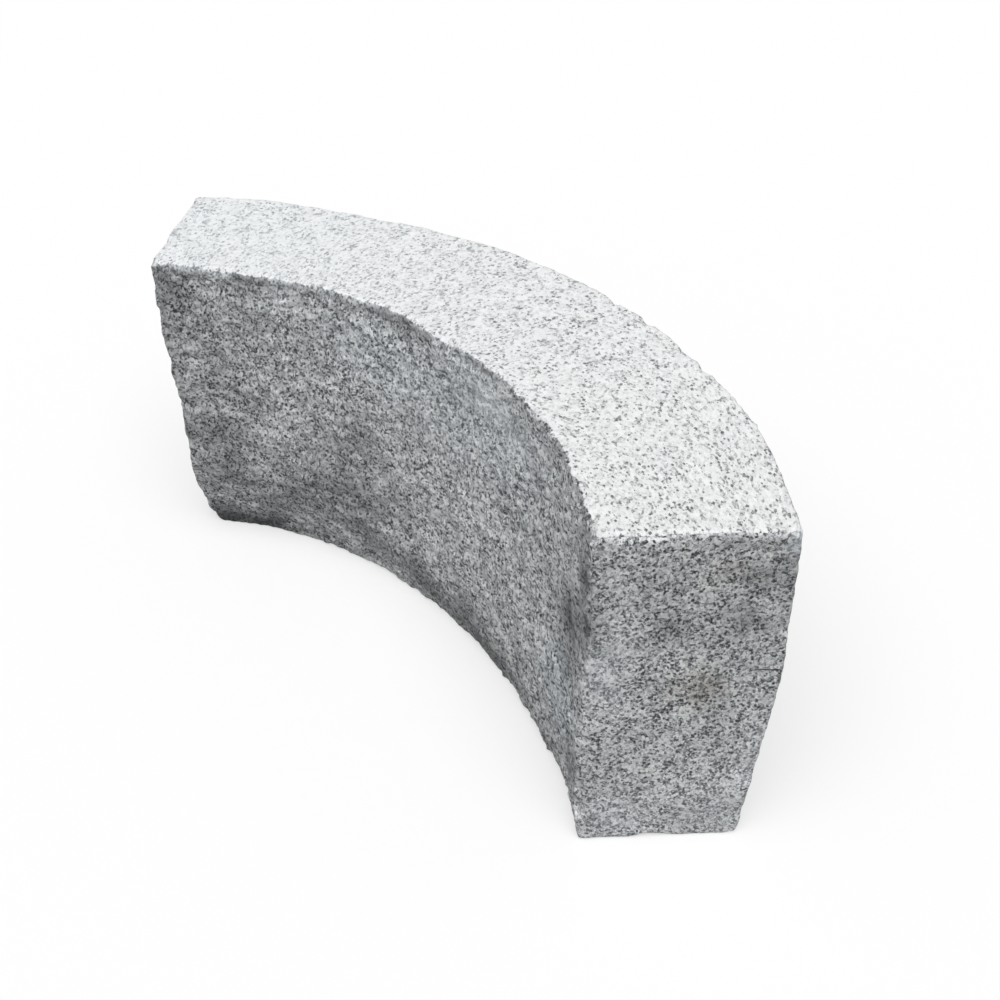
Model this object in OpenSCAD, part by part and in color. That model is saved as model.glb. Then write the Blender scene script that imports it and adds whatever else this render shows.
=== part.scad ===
// Curved granite kerb stone, hewn from one block: an arc of upright kerb section.
// The origin lies on the bed, under the middle of the stone's box. +Z is up, the chord
// lies along X and the hollow side faces -Y, so left and right are as seen from that side.

/* [Section] */
// Height from the bed to the top face
stone_h = 300; // [200:5:400]
// Width across the top, from the inner face to the back
top_w = 150; // [100:5:250]
// How far the lower part of the inner face stands out past its top edge
inner_lean = 5; // [0:1:15]
// Height of the bevel along the inner foot
foot_bevel_h = 28; // [10:1:50]
// Depth of the bevel along the inner foot
foot_bevel_d = 4; // [1:1:15]
// Height of the upright band at the top of the back
back_band_h = 140; // [60:5:180]
// How far the foot of the back stands in from its upright band
back_inset = 19; // [5:1:35]
// Size of the bevel along the lower edge of the back
back_bevel = 8; // [2:1:15]
// Height that the bevel round the top face takes off each side
arris = 3; // [1:0.5:8]
// Length that the same bevel takes off the top face at the ends
end_arris = 4; // [1:0.5:8]

/* [Arc] */
// Radius of the arc, at the middle of the top face
mid_r = 500; // [350:10:3000]
// Length of the arc, at the middle of the top face
mid_len = 700; // [500:10:1000]

/* [Undercut of the inner foot] */
// Distance from the right end, along the arc, at which the undercut starts
undercut_start = 330; // [100:10:450]
// How far the foot is cut back at the left end
undercut_d = 24; // [10:1:40]
// Height in which the undercut dies out at the left end
undercut_h = 85; // [50:5:180]

/* [Broken corner at the left end's foot] */
// Length of the break along the foot
break_along = 20; // [10:1:60]
// Length of the break across the end
break_across = 42; // [20:1:80]
// Length of the break up the end
break_up = 56; // [20:1:150]

/* [Worn back corner at the right end] */
// How far the worn corner stands in at the end
worn_d = 9; // [3:1:25]
// How far the axis of the worn corner's flatter arc lies behind the arc's own axis
worn_shift = 1500; // [200:10:2000]
// How far the foot of the worn corner stands in from its upright band
worn_inset = 17; // [5:1:35]
// Height of the rounder bevel along the lower edge of the worn corner
worn_foot = 14; // [2:1:30]
// Height that the rounder bevel along the top takes off the worn corner
worn_arris = 6; // [1:0.5:12]

/* [Hidden] */
$fn = 180;

// Radii of the top edges and of the inner foot, and the height where the back starts to lean in
inner_r = mid_r - top_w / 2;
outer_r = mid_r + top_w / 2;
foot_r = inner_r - inner_lean + foot_bevel_d;
knee_z = stone_h - back_band_h;

// Angle that the arc spans, and the turns that bring a radius onto the two ends
span = mid_len / mid_r * 180 / PI;
right_end = 90 - span / 2;
left_end = 90 + span / 2;

// The undercut is a cone whose upright axis stands in the plane of the left end, in front of
// the arc's axis. Its base circle passes through two points of the foot: at the left end, and
// where the undercut starts. Equal distances from the cone's axis to both give its place.
cut_span = span - undercut_start / mid_r * 180 / PI;
cut_foot_r = foot_r + undercut_d;
cut_shift = (pow(cut_foot_r, 2) - pow(foot_r, 2)) / (2 * (cut_foot_r - foot_r * cos(cut_span)));
cut_r = cut_foot_r - cut_shift;
cut_slope = undercut_d / undercut_h;

// Radius of the flatter arc that the back is worn to at the right end
worn_r = outer_r - worn_d + worn_shift;

// The middle of the stone's box, seen from the arc's axis
box_x = -worn_d * cos(right_end) / 2;
box_y = (outer_r + (inner_r - inner_lean) * sin(right_end)) / 2;

// Side of the blocks that cut flats, and how far the undercut's cone reaches past the stone
block = 2 * stone_h;
cone_over = stone_h / 2;

// Half section of the back, from its foot to the top face, for an upright band at radius r
// whose foot stands in by inset, with bevels of the heights given at its foot and top
function back_profile(r, inset, foot_rise, top_rise) = [
    [r - inset - back_bevel, 0],
    [r - inset, foot_rise],
    [r, knee_z],
    [r, stone_h - top_rise],
    [r - arris, stone_h],
];

// Half section of the inner face, from the top face down to its foot
function inner_profile() = [
    [inner_r + arris, stone_h],
    [inner_r, stone_h - arris],
    [inner_r - inner_lean, foot_bevel_h],
    [foot_r, 0],
];

// The section carried round the arc, from the right end to the left end
module arc_stock() {
    back = back_profile(outer_r, back_inset, back_bevel, arris);
    rotate(right_end) rotate_extrude(angle = span) polygon(concat(back, inner_profile()));
}

// Disc with the worn corner's profile on the flatter arc, square to the right end: only the
// back corner there stands out of it
module worn_limit() {
    back = back_profile(worn_r, worn_inset, worn_foot, worn_arris);
    rotate(right_end)
        translate([-worn_shift, 0, 0])
            rotate_extrude() polygon(concat([[0, stone_h], [0, 0]], back));
}

// Cut that leaves the inner foot standing back, from nothing to its full depth at the left end
module undercut() {
    rotate(left_end)
        translate([cut_shift, 0, -cone_over])
            cylinder(
                h = undercut_h + 2 * cone_over,
                r1 = cut_r + cone_over * cut_slope,
                r2 = cut_r - (undercut_h + cone_over) * cut_slope
            );
}

// All that lies beyond a flat whose distance from the origin is reach, along +Z
module beyond(reach) {
    translate([-block / 2, -block / 2, reach]) cube(block);
}

// Oblique flat across the lower inner corner of the left end, through its three lengths
module corner_break() {
    normal = [1 / break_across, -1 / break_along, 1 / break_up];
    size = norm(normal);
    rotate(left_end)
        translate([cut_foot_r, 0, 0])
            rotate([0, acos(normal.z / size), atan2(normal.y, normal.x)])
                mirror([0, 0, 1]) beyond(-1 / size);
}

// Bevel along the top edge of one end: way is 1 at the right end and -1 at the left end
module end_bevel(turn, way) {
    tilt = atan2(arris, end_arris);
    rotate(turn)
        translate([mid_r, 0, stone_h])
            rotate([way * tilt, 0, 0]) beyond(-arris * cos(tilt));
}

module kerb_stone() {
    color("#b3b6b7")
        translate([-box_x, -box_y, 0])
            difference() {
                intersection() {
                    arc_stock();
                    worn_limit();
                }
                undercut();
                corner_break();
                end_bevel(right_end, 1);
                end_bevel(left_end, -1);
            }
}

kerb_stone();
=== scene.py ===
"""Curved granite kerb stone: one hewn stone with worn arrises, standing on a pale studio floor.

The stone's surface is where the largest of several signed distances is zero: one distance for each
face, for each worn arris between two faces and for each spall. Sizes are millimetres until they go
into a mesh. Left and right are as seen from the hollow side, which faces -Y.
"""

import logging
import math
from dataclasses import dataclass, field
from enum import IntEnum
from typing import Any

import bpy
import numpy as np
from mathutils import Matrix, Vector


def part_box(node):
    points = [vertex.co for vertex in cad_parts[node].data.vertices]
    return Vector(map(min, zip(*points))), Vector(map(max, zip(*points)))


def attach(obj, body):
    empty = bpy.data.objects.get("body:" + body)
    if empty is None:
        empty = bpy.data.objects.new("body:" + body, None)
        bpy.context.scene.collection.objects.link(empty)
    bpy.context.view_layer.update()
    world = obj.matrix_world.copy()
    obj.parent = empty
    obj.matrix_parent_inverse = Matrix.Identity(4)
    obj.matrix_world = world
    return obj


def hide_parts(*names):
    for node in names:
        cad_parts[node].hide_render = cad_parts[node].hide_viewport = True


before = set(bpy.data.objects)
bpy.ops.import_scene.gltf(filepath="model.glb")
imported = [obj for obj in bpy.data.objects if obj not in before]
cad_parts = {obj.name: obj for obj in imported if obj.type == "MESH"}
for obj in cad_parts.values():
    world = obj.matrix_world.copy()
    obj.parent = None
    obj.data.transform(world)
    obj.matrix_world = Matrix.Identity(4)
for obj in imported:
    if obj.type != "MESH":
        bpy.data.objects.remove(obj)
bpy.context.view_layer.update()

LOG = logging.getLogger("kerb_stone")
NODE = "kerb_stone"
MM = 0.001
Tree = bpy.types.NodeTree
Socket = bpy.types.NodeSocket

# Large odd numbers and shifts that scatter a lattice corner's place into a code of 32 bits
HASH_PRIMES = np.array([73856093, 19349663, 83492791], np.uint64)
HASH_SEED = 2654435761
HASH_TURNS = ((15, 2246822519), (13, 3266489917))
HASH_END = np.uint64(16)
HASH_MASK = np.uint64(0xFFFFFFFF)
# Ten bits of the code give one slope; the last factor brings the noise to about -1 to 1
SLOPE_SHIFTS = (0, 10, 20)
SLOPE_MASK = 1023
NOISE_FACTOR = 1.6


class Side(IntEnum):
    """Faces of the stone, in the order of the rows of distances."""

    INNER = 0
    BACK = 1
    WORN = 2
    TOP = 3
    BED = 4
    RIGHT = 5
    LEFT = 6
    BREAK = 7


def linear(hex_colour: str) -> tuple[float, float, float, float]:
    """Turns an sRGB hex colour into linear red, green, blue and alpha.

    Args:
        hex_colour: six hex digits, with or without a leading #.

    Returns:
        The linear colour, with alpha 1.
    """
    digits = hex_colour.lstrip("#")
    shares = [int(digits[i : i + 2], 16) / 255 for i in (0, 2, 4)]
    red, green, blue = (c / 12.92 if c <= 0.04045 else ((c + 0.055) / 1.055) ** 2.4 for c in shares)
    return red, green, blue, 1.0


def corner_slopes(corners: np.ndarray, seed: int) -> np.ndarray:
    """Slopes at the corners of a lattice, from a hash of their places.

    Args:
        corners: n x 3 whole numbers.
        seed: chooses one pattern.

    Returns:
        n x 3 slopes from -1 to 1.
    """
    mixed = corners.astype(np.uint64) * HASH_PRIMES
    code = mixed[:, 0] ^ mixed[:, 1] ^ mixed[:, 2] ^ np.uint64(seed * HASH_SEED)
    for shift, factor in HASH_TURNS:
        code = (code ^ (code >> np.uint64(shift))) * np.uint64(factor) & HASH_MASK
    code ^= code >> HASH_END
    bits = np.stack([code >> np.uint64(shift) & np.uint64(SLOPE_MASK) for shift in SLOPE_SHIFTS], 1)
    return bits.astype(float) / (SLOPE_MASK / 2) - 1


def gradient_noise(points: np.ndarray, size: float, seed: int) -> np.ndarray:
    """Smooth noise, about -1 to 1, with lumps of the given size.

    Each corner of a cubic lattice has a slope. A point takes the eight planes of its cell's corners,
    blended with the fade 6t^5 - 15t^4 + 10t^3 along each axis.

    Args:
        points: n x 3 places in millimetres.
        size: the lattice's spacing in millimetres.
        seed: chooses one pattern.

    Returns:
        n values.
    """
    scaled = points / size
    cell = np.floor(scaled).astype(np.int64)
    part = scaled - cell
    fade = part**3 * (part * (part * 6 - 15) + 10)
    total = np.zeros(len(points))
    for corner in np.ndindex(2, 2, 2):
        plane = ((part - corner) * corner_slopes(cell + corner, seed)).sum(1)
        total += plane * np.prod(np.where(corner, fade, 1 - fade), 1)
    return total * NOISE_FACTOR


def rough(points: np.ndarray, size: float, octaves: int, seed: int) -> np.ndarray:
    """Noise with lumps of a size and of its halves, each half as high.

    Args:
        points: n x 3 places in millimetres.
        size: the largest lumps' size in millimetres.
        octaves: how many sizes are added.
        seed: chooses one pattern.

    Returns:
        n values, about -1.5 to 1.5.
    """
    return sum(gradient_noise(points, size / 2**k, seed + k) / 2**k for k in range(octaves))


@dataclass(frozen=True)
class Swell:
    """A broad hollow or belly of one face: depth * exp(-(along/length)^2 - (up/rise)^2).

    depth is positive for a hollow, negative for a belly. at is the place along the middle arc from the
    right end, and height the place above the bed; length and rise are how far it reaches each way.
    """

    side: Side
    at: float
    height: float
    length: float
    rise: float
    depth: float

    def relief(self, along: np.ndarray, up: np.ndarray) -> np.ndarray:
        """Depth of the swell at places along the arc and above the bed."""
        reach = ((along - self.at) / self.length) ** 2 + ((up - self.height) / self.rise) ** 2
        return self.depth * np.exp(-reach)


@dataclass(frozen=True)
class Spall:
    """A shell-shaped chip: a ball of a given radius that reaches depth into the stone.

    at is the place along the middle arc from the right end, across the distance from the inner face,
    and height the place above the bed. away is the direction out of the stone at the chip, as shares of
    (along, across, up).
    """

    at: float
    across: float
    height: float
    away: tuple[float, float, float]
    radius: float
    depth: float


class Tint(IntEnum):
    """What a patch does to the stone: darkens it with grime and painted shade, browns it, leaves it bluer or
    whitens it, partly with painted light.
    """

    GRIME_AND_PAINTED_SHADE = 0
    RUST = 1
    BLUE = 2
    PALER_AND_PAINTED_LIGHT = 3


@dataclass(frozen=True)
class TintPatch:
    """A soft patch: strength * exp(-(along/a)^2 - (across/b)^2 - (up/c)^2) with the reaches (a, b, c).

    at is its middle: along the middle arc from the right end, across from the inner face, above the bed.
    """

    tint: Tint
    at: tuple[float, float, float]
    reach: tuple[float, float, float]
    strength: float


@dataclass(frozen=True)
class Edge:
    """An arris that has lost small chips: its ends as (along, across, up), the way out, the chips' number."""

    start: tuple[float, float, float]
    end: tuple[float, float, float]
    away: tuple[float, float, float]
    chips: int


@dataclass(frozen=True)
class Arris:
    """Wear along the edge between two faces: the least width of its bevel, and how much it varies."""

    first: Side
    second: Side
    least: float
    vary: float


@dataclass(frozen=True)
class Relief:
    """Roughness of a face left by its tools: height and size of its lumps, and their number of octaves."""

    side: Side
    height: float
    size: float
    octaves: int
    seed: int


@dataclass
class KerbStone:
    """The stone: an arc of upright section, with the sizes of its solid, and how it was hewn and worn.

    Lengths are millimetres. Groups of three are along the arc, across it and up, except break_lengths,
    which go across, along and up. A chip's radius is least + extra * chance^2, its depth grows with it.
    """

    top_width: float = 150.0
    mid_radius: float = 500.0
    mid_length: float = 700.0
    inner_lean: float = 5.0
    foot_bevel_height: float = 28.0
    foot_bevel_depth: float = 4.0
    back_band: float = 140.0
    back_inset: float = 19.0
    back_bevel: float = 8.0
    undercut_start: float = 330.0
    undercut_depth: float = 24.0
    undercut_height: float = 85.0
    undercut_blend: float = 4.0
    break_lengths: tuple[float, float, float] = (42.0, 20.0, 56.0)
    worn_depth: float = 9.0
    worn_shift: float = 1500.0
    worn_inset: float = 17.0
    blend: float = 0.9
    mark_width: float = 5.0
    mark_depth: float = 4.0
    cells: tuple[int, int, int] = (242, 32, 146)
    grading: tuple[float, float, float] = (0.25, 0.6, 0.3)
    crowding: tuple[float, float, float] = (0.32, 0.0, 0.0)
    steps: int = 8
    easing_steps: int = 5
    easing: float = 0.4
    wear_sizes: tuple[float, float] = (42.0, 7.0)
    wear_seeds: tuple[int, int] = (71, 79)
    wear_octaves: int = 4
    fine_wear: float = 0.5
    least_wear: float = -0.3
    relief_reach: float = 20.0
    reliefs: tuple[Relief, ...] = (
        Relief(Side.INNER, 2.2, 48.0, 3, 11),
        Relief(Side.INNER, 2.0, 8.5, 2, 16),
        Relief(Side.BACK, 2.0, 50.0, 3, 21),
        Relief(Side.BACK, 1.5, 10.0, 2, 27),
        Relief(Side.WORN, 0.8, 40.0, 3, 25),
        Relief(Side.WORN, 0.6, 10.0, 2, 29),
        Relief(Side.TOP, 0.45, 30.0, 3, 31),
        Relief(Side.BED, 0.5, 40.0, 2, 35),
        Relief(Side.RIGHT, 1.2, 40.0, 3, 41),
        Relief(Side.RIGHT, 0.4, 9.0, 2, 43),
        Relief(Side.LEFT, 1.2, 36.0, 3, 45),
        Relief(Side.LEFT, 1.0, 9.0, 2, 48),
        Relief(Side.BREAK, 2.0, 24.0, 3, 51),
    )
    swells: tuple[Swell, ...] = (
        Swell(Side.INNER, 175, 100, 130, 105, -8.0),
        Swell(Side.INNER, 155, 0, 60, 40, -4.0),
        Swell(Side.INNER, 60, 290, 60, 70, -3.0),
        Swell(Side.INNER, 425, 300, 34, 26, 4.0),
        Swell(Side.INNER, 490, 300, 70, 40, 3.5),
        Swell(Side.INNER, 270, 300, 70, 40, 1.5),
        Swell(Side.BACK, 345, 220, 120, 400, -6.5),
        Swell(Side.BACK, 560, 220, 60, 400, 4.0),
        Swell(Side.BACK, 690, 220, 40, 400, 4.0),
        Swell(Side.LEFT, 700, 120, 500, 80, 8.0),
        Swell(Side.LEFT, 700, 300, 500, 70, -2.5),
    )
    arrises: tuple[Arris, ...] = (
        Arris(Side.INNER, Side.TOP, 0.2, 1.9),
        Arris(Side.BACK, Side.TOP, 0.4, 1.6),
        Arris(Side.WORN, Side.TOP, 0.6, 1.8),
        Arris(Side.RIGHT, Side.TOP, 0.3, 1.4),
        Arris(Side.LEFT, Side.TOP, 0.4, 1.6),
        Arris(Side.INNER, Side.RIGHT, 0.2, 1.3),
        Arris(Side.WORN, Side.RIGHT, 0.2, 1.2),
        Arris(Side.INNER, Side.LEFT, 0.6, 2.0),
        Arris(Side.BACK, Side.LEFT, 0.8, 2.0),
        Arris(Side.INNER, Side.BED, 0.3, 1.5),
        Arris(Side.BACK, Side.BED, 2.5, 2.0),
        Arris(Side.WORN, Side.BED, 3.0, 2.0),
        Arris(Side.RIGHT, Side.BED, 0.2, 1.0),
        Arris(Side.LEFT, Side.BED, 0.8, 2.0),
        Arris(Side.BREAK, Side.BED, 0.8, 2.0),
        Arris(Side.BREAK, Side.LEFT, 1.5, 2.0),
        Arris(Side.BREAK, Side.INNER, 1.5, 2.0),
    )
    spalls: tuple[Spall, ...] = (
        Spall(425, 0, 300, (0.0, -0.7, 0.7), 40.0, 5.0),
        Spall(342, 0, 300, (0.0, -0.7, 0.7), 30.0, 7.0),
        Spall(628, 0, 300, (0.0, -0.7, 0.7), 55.0, 4.0),
        Spall(0, 141, 300, (-0.6, 0.4, 0.7), 16.0, 6.0),
    )
    edges: tuple[Edge, ...] = (
        Edge((0, 0, 300), (700, 0, 300), (0, -1, 1), 46),
        Edge((0, 150, 300), (700, 150, 300), (0, 1, 1), 8),
        Edge((0, 0, 300), (0, 140, 300), (-1, 0, 1), 8),
        Edge((700, 0, 300), (700, 150, 300), (1, 0, 1), 6),
        Edge((0, -2, 20), (0, -2, 290), (-1, -1, 0), 22),
        Edge((0, 130, 20), (0, 141, 290), (-1, 1, 0), 4),
        Edge((700, 5, 80), (700, 0, 290), (1, -1, 0), 12),
        Edge((700, 140, 20), (700, 150, 290), (1, 1, 0), 10),
        Edge((0, -2, 0), (350, -2, 0), (0, -1, -1), 12),
        Edge((0, 0, 0), (0, 120, 0), (-1, 0, -1), 5),
        Edge((0, 130, 0), (700, 130, 0), (0, 1, -1), 16),
    )
    chip_seed: int = 17
    chip_scatter: float = 0.25
    chip_radius: tuple[float, float] = (6.0, 14.0)
    chip_depth: tuple[float, float] = (0.8, 0.16)
    spall_grain: float = 6.0
    spall_rough: float = 0.7
    spall_seed: int = 83
    tint_patches: tuple[TintPatch, ...] = (
        # Darker patches. Those low on the inner face, along its foot and undercut, are painted shade with
        # grime.
        TintPatch(Tint.GRIME_AND_PAINTED_SHADE, (650, 15, 6), (64, 60, 18), 0.95),
        TintPatch(Tint.GRIME_AND_PAINTED_SHADE, (570, 15, 12), (50, 60, 12), 0.30),
        TintPatch(Tint.GRIME_AND_PAINTED_SHADE, (682, 5, 270), (28, 40, 28), 0.40),
        TintPatch(Tint.GRIME_AND_PAINTED_SHADE, (650, 5, 110), (50, 60, 60), 0.55),
        TintPatch(Tint.GRIME_AND_PAINTED_SHADE, (690, 5, 170), (30, 60, 60), 0.12),
        TintPatch(Tint.GRIME_AND_PAINTED_SHADE, (480, 5, 95), (80, 40, 50), 0.55),
        TintPatch(Tint.GRIME_AND_PAINTED_SHADE, (410, 5, 32), (80, 40, 26), 0.45),
        TintPatch(Tint.GRIME_AND_PAINTED_SHADE, (260, -5, 14), (100, 40, 30), 0.60),
        TintPatch(Tint.GRIME_AND_PAINTED_SHADE, (130, -8, 6), (60, 40, 20), 0.40),
        # Painted shade: a strip of the inner face by the right end, which faces away from the light.
        TintPatch(Tint.GRIME_AND_PAINTED_SHADE, (34, -3, 225), (18, 20, 60), 0.6),
        TintPatch(Tint.GRIME_AND_PAINTED_SHADE, (62, -3, 165), (34, 20, 40), 0.5),
        TintPatch(Tint.GRIME_AND_PAINTED_SHADE, (34, -3, 58), (16, 20, 26), 0.6),
        TintPatch(Tint.GRIME_AND_PAINTED_SHADE, (0, 55, 213), (20, 20, 18), 0.40),
        TintPatch(Tint.GRIME_AND_PAINTED_SHADE, (0, 110, 289), (20, 36, 4), 0.2),
        # Painted shade: a dark line just under the inner top arris, below its chips.
        TintPatch(Tint.GRIME_AND_PAINTED_SHADE, (130, 0, 297), (90, 14, 5), 0.35),
        TintPatch(Tint.GRIME_AND_PAINTED_SHADE, (405, 0, 293), (55, 14, 9), 0.5),
        TintPatch(Tint.GRIME_AND_PAINTED_SHADE, (600, 0, 293), (60, 14, 8), 0.35),
        TintPatch(Tint.GRIME_AND_PAINTED_SHADE, (465, 0, 172), (26, 20, 20), 0.4),
        TintPatch(Tint.GRIME_AND_PAINTED_SHADE, (0, 112, 225), (20, 30, 30), 0.4),
        TintPatch(Tint.GRIME_AND_PAINTED_SHADE, (600, 0, 230), (110, 40, 80), 0.22),
        TintPatch(Tint.GRIME_AND_PAINTED_SHADE, (559, 5, 60), (50, 30, 25), 0.4),
        TintPatch(Tint.GRIME_AND_PAINTED_SHADE, (316, 0, 42), (24, 20, 20), 0.4),
        TintPatch(Tint.GRIME_AND_PAINTED_SHADE, (0, 138, 262), (20, 16, 22), 0.55),
        TintPatch(Tint.GRIME_AND_PAINTED_SHADE, (0, 112, 264), (20, 16, 10), 0.35),
        # More painted shade just under the inner top arris.
        TintPatch(Tint.GRIME_AND_PAINTED_SHADE, (300, 2, 297), (150, 8, 5), 0.3),
        TintPatch(Tint.GRIME_AND_PAINTED_SHADE, (520, 2, 297), (90, 8, 5), 0.25),
        TintPatch(Tint.GRIME_AND_PAINTED_SHADE, (694, 0, 190), (14, 14, 110), 0.2),
        TintPatch(Tint.GRIME_AND_PAINTED_SHADE, (0, 46, 256), (20, 18, 14), 0.4),
        # More painted shade in the strip of the inner face by the right end.
        TintPatch(Tint.GRIME_AND_PAINTED_SHADE, (13, -2, 252), (13, 14, 26), 0.7),
        TintPatch(Tint.GRIME_AND_PAINTED_SHADE, (9, -2, 214), (12, 12, 15), 0.8),
        TintPatch(Tint.GRIME_AND_PAINTED_SHADE, (75, -3, 188), (20, 14, 20), 0.4),
        TintPatch(Tint.GRIME_AND_PAINTED_SHADE, (10, -6, 82), (12, 14, 18), 0.5),
        # Painted shade with grime at the inner foot.
        TintPatch(Tint.GRIME_AND_PAINTED_SHADE, (598, 14, 22), (36, 30, 16), 0.4),
        TintPatch(Tint.RUST, (0, 78, 160), (20, 22, 18), 0.45),
        TintPatch(Tint.RUST, (0, 92, 268), (20, 16, 12), 0.3),
        TintPatch(Tint.BLUE, (250, 0, 235), (120, 30, 60), 0.20),
        TintPatch(Tint.BLUE, (80, -6, 100), (50, 20, 40), 0.55),
        TintPatch(Tint.BLUE, (440, 0, 255), (60, 30, 30), 0.30),
        # Paler patches.
        TintPatch(Tint.PALER_AND_PAINTED_LIGHT, (640, 75, 300), (330, 200, 8), 0.75),
        # Painted light at the right end's foot, which lifts the shade that falls there.
        TintPatch(Tint.PALER_AND_PAINTED_LIGHT, (0, 22, 28), (14, 32, 32), 0.4),
        TintPatch(Tint.PALER_AND_PAINTED_LIGHT, (0, 105, 30), (14, 30, 32), 0.4),
        TintPatch(Tint.PALER_AND_PAINTED_LIGHT, (8, 130, 86), (14, 16, 30), 0.5),
        TintPatch(Tint.PALER_AND_PAINTED_LIGHT, (0, 140, 293), (8, 9, 9), 1.0),
        # Painted light on the inner face, mostly in a band under the top arris; one patch is on the right
        # end.
        TintPatch(Tint.PALER_AND_PAINTED_LIGHT, (365, 0, 225), (70, 20, 40), 0.3),
        TintPatch(Tint.PALER_AND_PAINTED_LIGHT, (272, 0, 270), (26, 20, 16), 0.5),
        TintPatch(Tint.PALER_AND_PAINTED_LIGHT, (0, 12, 185), (14, 16, 40), 0.6),
        TintPatch(Tint.PALER_AND_PAINTED_LIGHT, (230, 0, 262), (70, 20, 22), 0.45),
        TintPatch(Tint.PALER_AND_PAINTED_LIGHT, (560, 0, 276), (30, 20, 16), 0.3),
        TintPatch(Tint.PALER_AND_PAINTED_LIGHT, (300, 0, 278), (60, 14, 18), 0.35),
        TintPatch(Tint.PALER_AND_PAINTED_LIGHT, (0, 138, 284), (8, 14, 8), 0.6),
    )
    coarser: float = 1.08
    slant: float = 0.65
    slant_reach: float = 300.0
    slant_margin: float = 50.0
    slant_marks: int = 801
    height: float = field(init=False)
    axis: np.ndarray = field(init=False)

    def __post_init__(self) -> None:
        """Takes the height and the arc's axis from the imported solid's box."""
        low, high = (np.array(corner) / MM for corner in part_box(NODE))
        self.height = float(high[2])
        half_chord = self.outer_radius * math.sin(self.span / 2)
        self.axis = np.array([low[0] + half_chord, high[1] - self.outer_radius])

    @property
    def inner_radius(self) -> float:
        """Radius of the top's inner edge."""
        return self.mid_radius - self.top_width / 2

    @property
    def outer_radius(self) -> float:
        """Radius of the top's outer edge."""
        return self.mid_radius + self.top_width / 2

    @property
    def worn_radius(self) -> float:
        """Radius of the flatter arc that the back is worn to at the right end."""
        return self.outer_radius - self.worn_depth + self.worn_shift

    @property
    def span(self) -> float:
        """Angle of the arc in radians."""
        return self.mid_length / self.mid_radius

    @property
    def right_turn(self) -> float:
        """Direction of the right end's radius, in radians from +X."""
        return (math.pi - self.span) / 2

    @property
    def foot(self) -> float:
        """Radius of the inner foot where it isn't undercut."""
        return self.inner_radius - self.inner_lean + self.foot_bevel_depth

    @property
    def cut_foot(self) -> float:
        """Radius of the undercut foot at the left end."""
        return self.foot + self.undercut_depth

    @property
    def cut_shift(self) -> float:
        """Distance from the arc's axis to the undercut cone's: the cone meets the foot at its start."""
        turn = self.span - self.undercut_start / self.mid_radius
        return (self.cut_foot**2 - self.foot**2) / (2 * (self.cut_foot - self.foot * math.cos(turn)))

    @property
    def cut_slope(self) -> float:
        """How much the undercut's cone narrows for each millimetre of height."""
        return self.undercut_depth / self.undercut_height

    @property
    def knee(self) -> float:
        """Height at which the back starts to lean in."""
        return self.height - self.back_band

    def polar(self, points: np.ndarray) -> tuple[np.ndarray, np.ndarray, np.ndarray]:
        """Places seen from the arc's axis.

        Args:
            points: n x 3 places in millimetres.

        Returns:
            Radius, length along the middle arc from the right end, and height above the bed.
        """
        east, north = points[:, 0] - self.axis[0], points[:, 1] - self.axis[1]
        along = (np.arctan2(north, east) - self.right_turn) * self.mid_radius
        return np.hypot(east, north), along, points[:, 2]

    def place(self, along: np.ndarray, radius: np.ndarray, up: np.ndarray) -> np.ndarray:
        """Points at lengths along the middle arc, radii and heights: the reverse of polar.

        Args:
            along: lengths along the middle arc from the right end.
            radius: distances from the arc's axis.
            up: heights above the bed.

        Returns:
            n x 3 places in millimetres.
        """
        turn = self.right_turn + np.asarray(along) / self.mid_radius
        east = self.axis[0] + radius * np.cos(turn)
        return np.stack([east, self.axis[1] + radius * np.sin(turn), up + 0 * turn], -1)

    def shifted_radius(self, points: np.ndarray, turn: float, shift: float) -> np.ndarray:
        """Distance from an upright axis that stands shift out along the radius of direction turn."""
        east = points[:, 0] - self.axis[0] - shift * math.cos(turn)
        return np.hypot(east, points[:, 1] - self.axis[1] - shift * math.sin(turn))

    @staticmethod
    def circle(turn: np.ndarray, shift: float, radius: np.ndarray) -> np.ndarray:
        """Distance from the arc's axis to a circle whose middle lies shift out in direction nought."""
        return shift * np.cos(turn) + np.sqrt(radius**2 - (shift * np.sin(turn)) ** 2)

    def inner_line(self, up: np.ndarray) -> np.ndarray:
        """Radius of the inner face: it leans out from the top edge down to the foot's bevel.

        Args:
            up: heights above the bed.

        Returns:
            The radii.
        """
        bevel = self.foot_bevel_height
        lean = np.clip((self.height - up) / (self.height - bevel), 0, 1) * self.inner_lean
        return self.inner_radius - lean + np.clip(1 - up / bevel, 0, None) * self.foot_bevel_depth

    def cone_radius(self, up: np.ndarray) -> np.ndarray:
        """Radius of the undercut's cone at a height, about its own axis."""
        return self.cut_foot - self.cut_shift - self.cut_slope * up

    def back_line(self, up: np.ndarray, radius: float, inset: float) -> np.ndarray:
        """Radius of the back: upright above the knee, leaning in by inset from the knee to the foot."""
        return radius - inset * np.clip((self.knee - up) / (self.knee - self.back_bevel), 0, None)

    def break_distance(self, points: np.ndarray) -> np.ndarray:
        """Signed distance from the flat that broke off the left end's inner foot, through its three lengths.

        Args:
            points: n x 3 places in millimetres.

        Returns:
            n distances, positive outside the stone.
        """
        across, along, rise = self.break_lengths
        left = self.right_turn + self.span
        corner = self.place(self.mid_length, np.array([self.cut_foot]), np.zeros(1))[0]
        outward = np.array([math.cos(left), math.sin(left)])
        onward = np.array([-math.sin(left), math.cos(left)])
        legs = points - corner
        cut = 1 - (legs[:, :2] @ outward) / across + (legs[:, :2] @ onward) / along - legs[:, 2] / rise
        return cut / math.sqrt(across**-2 + along**-2 + rise**-2)

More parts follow.
